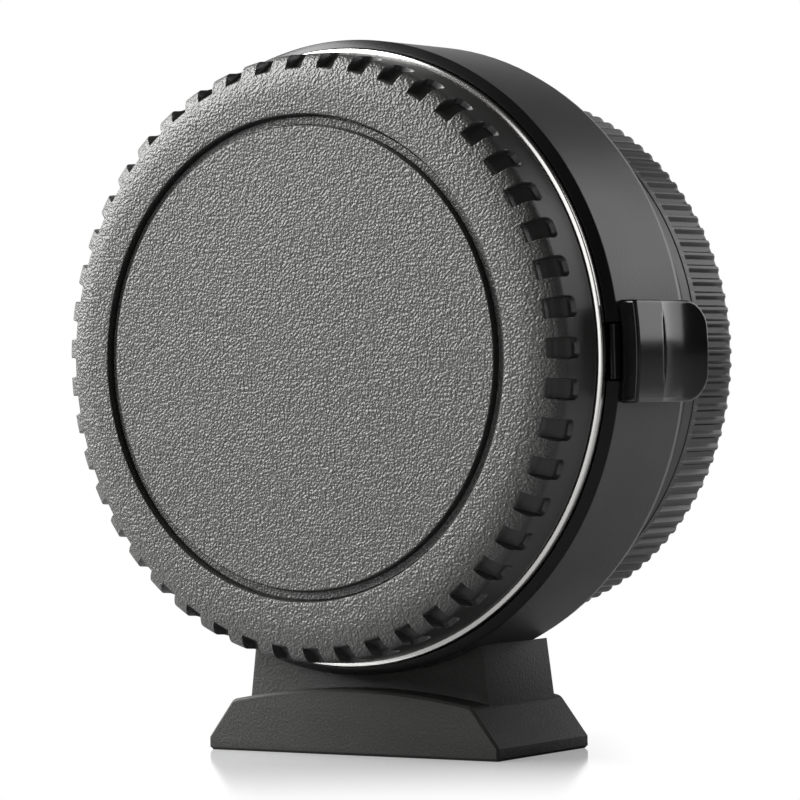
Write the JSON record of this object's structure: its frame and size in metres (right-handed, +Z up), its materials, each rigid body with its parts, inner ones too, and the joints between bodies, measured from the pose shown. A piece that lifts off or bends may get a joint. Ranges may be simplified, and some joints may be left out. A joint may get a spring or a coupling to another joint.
{
  "type": "lens mount adapter",
  "caption": "Short barrel that joins a reflex lens to a mirrorless camera, with a bayonet at each end, twist-on caps, a sprung release lever and a tripod foot.",
  "frame": {"origin": "mouth of the tripod socket, in the middle of the foot's underside", "axes": "+Z up, +Y along the optical axis from the lens side to the camera side, +X on the release lever's side"},
  "size_m": [0.0705, 0.0407, 0.0765],
  "materials": {
    "satin_body": "satin dark grey anodising",
    "gloss_black": "polished black",
    "polished_mount": "polished plating",
    "steel": "plain steel",
    "matt_black": "matt black moulding",
    "gilt": "gilt contact",
    "board": "green solder resist",
    "chip": "matt black package",
    "matt_foot": "fine matt dark grey",
    "grained_cap": "grained face with a smooth notched rim",
    "ribbed_cap": "satin ribbed moulding"
  },
  "bodies": {
    "adapter": {"barrel": "satin_body", "front_bezel": "gloss_black", "lens_mount_ring": "polished_mount", "lens_mount_screws": "steel", "mount_leaf_springs": "steel", "inner_baffle": "matt_black", "lens_contact_block": "matt_black", "lens_contact_pins": "gilt", "circuit_board": "board", "board_chips": "chip", "board_screws": "steel", "rear_housing": "satin_body", "housing_screws": "steel", "camera_mount_ring": "polished_mount", "camera_mount_screws": "steel", "camera_contact_block": "matt_black", "camera_contact_pads": "gilt", "tripod_foot": "matt_foot", "tripod_bush": "steel", "foot_screws": "steel", "lever_spring": "steel"},
    "lever": {"release_lever": "gloss_black", "lever_plate": "steel", "lever_screws": "steel", "lock_pin": "steel"},
    "lens_cap": {"front_cap": "grained_cap"},
    "camera_cap": {"rear_cap": "ribbed_cap"}
  },
  "joints": [
    {"name": "lever_slide", "type": "slide", "parent": "adapter", "child": "lever", "axis": [0, 1, 0], "range_m": [0, 0.0025], "stiffness_N_per_m": 600, "springref_m": -0.0015, "deforming": ["lever_spring"]},
    {"name": "front_cap_twist", "type": "hinge", "parent": "adapter", "child": "lens_cap", "pos_m": [0, -0.0097, 0.04251], "axis": [0, -1, 0], "range_deg": [0, 60]},
    {"name": "rear_cap_twist", "type": "hinge", "parent": "adapter", "child": "camera_cap", "pos_m": [0, 0.01505, 0.04251], "axis": [0, 1, 0], "range_deg": [0, 60]}
  ]
}
